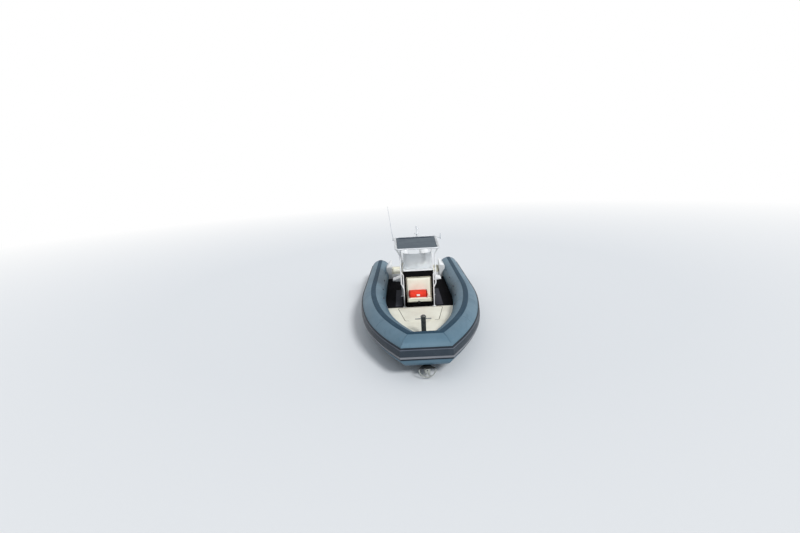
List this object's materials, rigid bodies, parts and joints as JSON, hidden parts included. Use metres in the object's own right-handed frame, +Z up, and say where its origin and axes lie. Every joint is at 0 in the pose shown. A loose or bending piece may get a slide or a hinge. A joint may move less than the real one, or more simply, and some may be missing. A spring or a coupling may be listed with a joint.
{
  "type": "rigid inflatable boat",
  "caption": "Centre-console boat with a rigid hull, an inflatable collar, a canopy on bent tube, seats, a mooring post and outboard engines that steer and tilt.",
  "frame": {"origin": "on the waterline at the keel line, at the aft face of the transom", "axes": "+X forwards along the keel line, +Y to port, +Z up"},
  "size_m": [10.2416, 3.75, 4.1519],
  "materials": {
    "tube_cloth": "satin coated cloth",
    "strip_rubber": "matt",
    "strake_rubber": "matt, ribbed",
    "hull_gelcoat": "gloss",
    "cream_gelcoat": "satin, fine non-slip",
    "deck_mat": "matt foam mat",
    "console_black": "gloss",
    "cream_cushion": "soft vinyl",
    "red_cloth": "matt cloth",
    "clear_sheet": "clear, rounded edges",
    "white_tube": "gloss powder coat",
    "canopy_cloth": "matt cloth",
    "white_plastic": "gloss",
    "black_paint": "satin",
    "stainless": "bright",
    "engine_white": "gloss",
    "leg_paint": "painted",
    "bracket_grey": "painted",
    "black_plastic": "matt"
  },
  "bodies": {
    "boat": {"tube_port": "tube_cloth", "tube_starboard": "tube_cloth", "tube_bow": "tube_cloth", "wear_strip": "strip_rubber", "rub_strake": "strake_rubber", "hull": "hull_gelcoat", "deck": "deck_mat", "transom": "cream_gelcoat", "foredeck": "cream_gelcoat", "mooring_post": "black_paint", "mooring_pin": "stainless", "console": "console_black", "console_dash": "cream_gelcoat", "windshield": "clear_sheet", "seat_plinth": "console_black", "front_seat_cushion": "cream_cushion", "front_backrest": "cream_cushion", "bolster": "red_cloth", "canopy_frame": "white_tube", "side_frame_port": "white_tube", "side_frame_starboard": "white_tube", "canopy": "canopy_cloth", "antenna_mount": "stainless", "light_mast": "white_plastic", "stub_antenna": "white_plastic", "helm_seat_pod": "cream_gelcoat", "helm_seat_cushion": "cream_cushion", "helm_backrest": "cream_cushion", "stern_bench": "cream_gelcoat", "bench_cushion": "cream_cushion", "bench_backrest": "cream_cushion", "helm_column": "black_plastic", "throttle_levers": "stainless", "clamp_bracket_port": "bracket_grey", "clamp_bracket_starboard": "bracket_grey", "bow_roller": "stainless", "anchor": "stainless", "towing_eyes": "stainless", "grab_handles": "strake_rubber"},
    "hatch": {"foredeck_hatch": "cream_gelcoat"},
    "seat_door": {"seat_locker_door": "console_black"},
    "wheel": {"steering_wheel": "black_plastic"},
    "whip": {"vhf_antenna": "white_plastic"},
    "swivel_port": {"swivel_bracket_port": "bracket_grey"},
    "engine_port": {"engine_leg_port": "leg_paint", "engine_cowl_port": "engine_white"},
    "prop_port": {"propeller_port": "stainless"},
    "swivel_starboard": {"swivel_bracket_starboard": "bracket_grey"},
    "engine_starboard": {"engine_leg_starboard": "leg_paint", "engine_cowl_starboard": "engine_white"},
    "prop_starboard": {"propeller_starboard": "stainless"}
  },
  "joints": [
    {"name": "hatch_lid", "type": "hinge", "parent": "boat", "child": "hatch", "pos_m": [7.104, 0, 0.62], "axis": [0, 1, 0], "range_deg": [0, 80]},
    {"name": "seat_locker_lid", "type": "hinge", "parent": "boat", "child": "seat_door", "pos_m": [5.601, 0, 0.454], "axis": [0, 1, 0], "range_deg": [0, 90]},
    {"name": "wheel_turn", "type": "hinge", "parent": "boat", "child": "wheel", "pos_m": [3.99769, 0, 1.43839], "axis": [-0.9063, 0, 0.4226], "range_deg": [-361, 361]},
    {"name": "whip_fold", "type": "hinge", "parent": "boat", "child": "whip", "pos_m": [3.36, -0.78241, 2.348], "axis": [0, -1, 0], "range_deg": [0, 90]},
    {"name": "port_tilt", "type": "hinge", "parent": "boat", "child": "swivel_port", "pos_m": [-0.07, 0.45, 0.63], "axis": [0, 1, 0], "range_deg": [0, 65]},
    {"name": "port_steer", "type": "hinge", "parent": "swivel_port", "child": "engine_port", "pos_m": [-0.2, 0.45, 0], "axis": [0, 0, 1], "range_deg": [-30, 30]},
    {"name": "port_propeller", "type": "hinge", "parent": "engine_port", "child": "prop_port", "pos_m": [-0.66, 0.45, -0.445], "axis": [1, 0, 0], "continuous": true},
    {"name": "starboard_tilt", "type": "hinge", "parent": "boat", "child": "swivel_starboard", "pos_m": [-0.07, -0.45, 0.63], "axis": [0, 1, 0], "range_deg": [0, 65]},
    {"name": "starboard_steer", "type": "hinge", "parent": "swivel_starboard", "child": "engine_starboard", "pos_m": [-0.2, -0.45, 0], "axis": [0, 0, 1], "range_deg": [-30, 30]},
    {"name": "starboard_propeller", "type": "hinge", "parent": "engine_starboard", "child": "prop_starboard", "pos_m": [-0.66, -0.45, -0.445], "axis": [1, 0, 0], "continuous": true}
  ],
  "couplings": [
    {"joint": "starboard_steer", "follows": "port_steer", "ratio": 1},
    {"joint": "wheel_turn", "follows": "port_steer", "ratio": -12}
  ]
}
